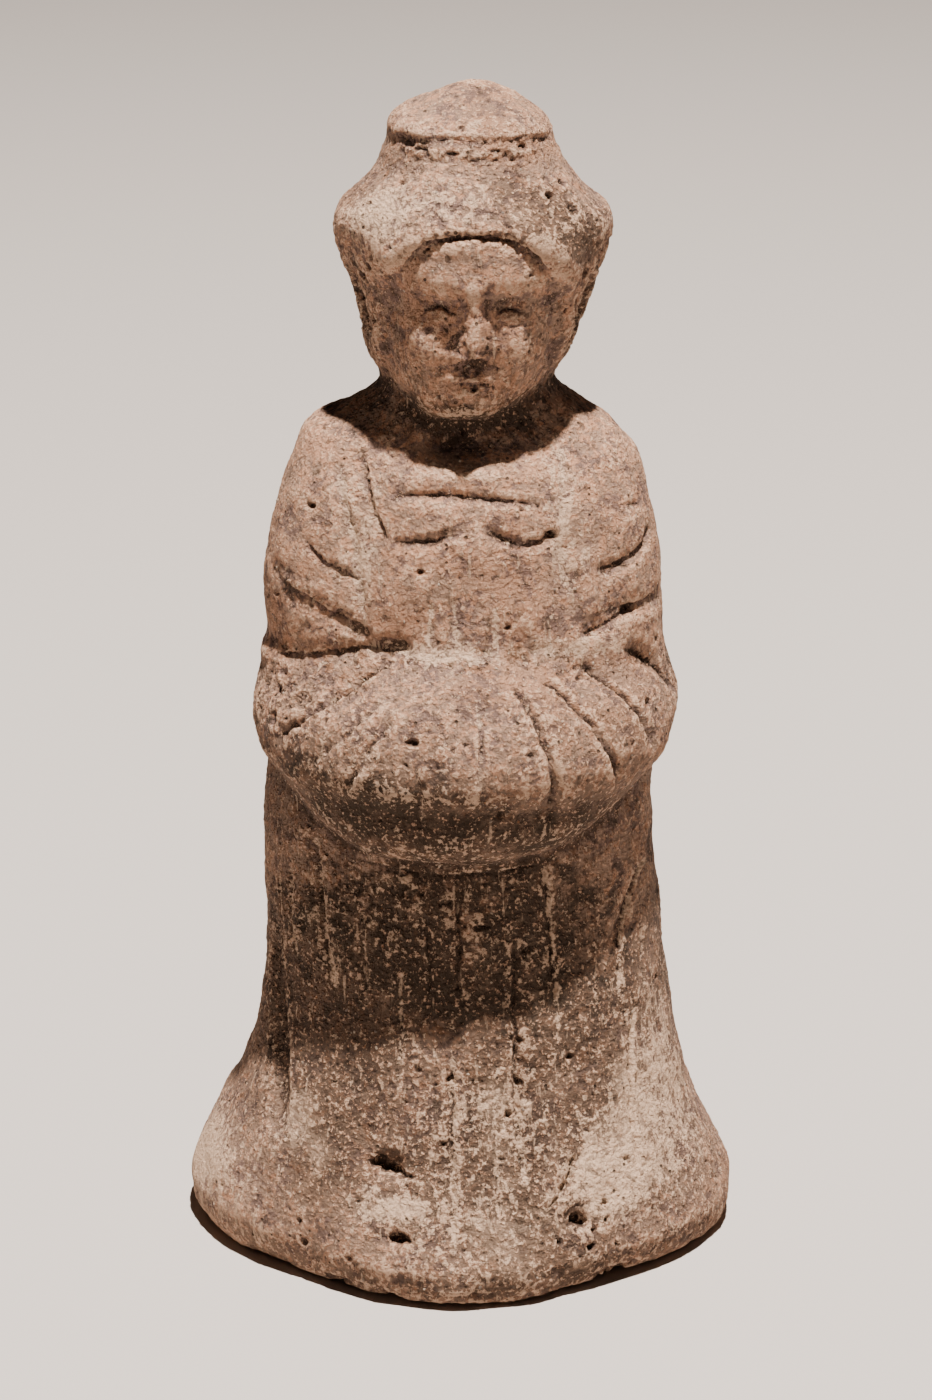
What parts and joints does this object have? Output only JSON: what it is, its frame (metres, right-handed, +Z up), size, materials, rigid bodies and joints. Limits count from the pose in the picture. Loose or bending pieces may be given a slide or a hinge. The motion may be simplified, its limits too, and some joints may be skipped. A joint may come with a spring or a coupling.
{
  "type": "clay tomb figurine",
  "caption": "Standing fired-clay attendant in a flared robe, hands joined inside wide sleeves, hair in a low bun, resting on its flat underside.",
  "frame": {"origin": "middle of the flat underside the figure stands on", "axes": "+Z up along the figure, and the figure faces -Y, with +X to the right of somebody looking at its face"},
  "size_m": [0.1158, 0.1062, 0.24],
  "materials": {
    "fired_clay": "unglazed grey-buff fired clay, matt, pitted and stained with soil"
  },
  "bodies": {
    "root": {"figurine": "fired_clay"}
  },
  "joints": []
}
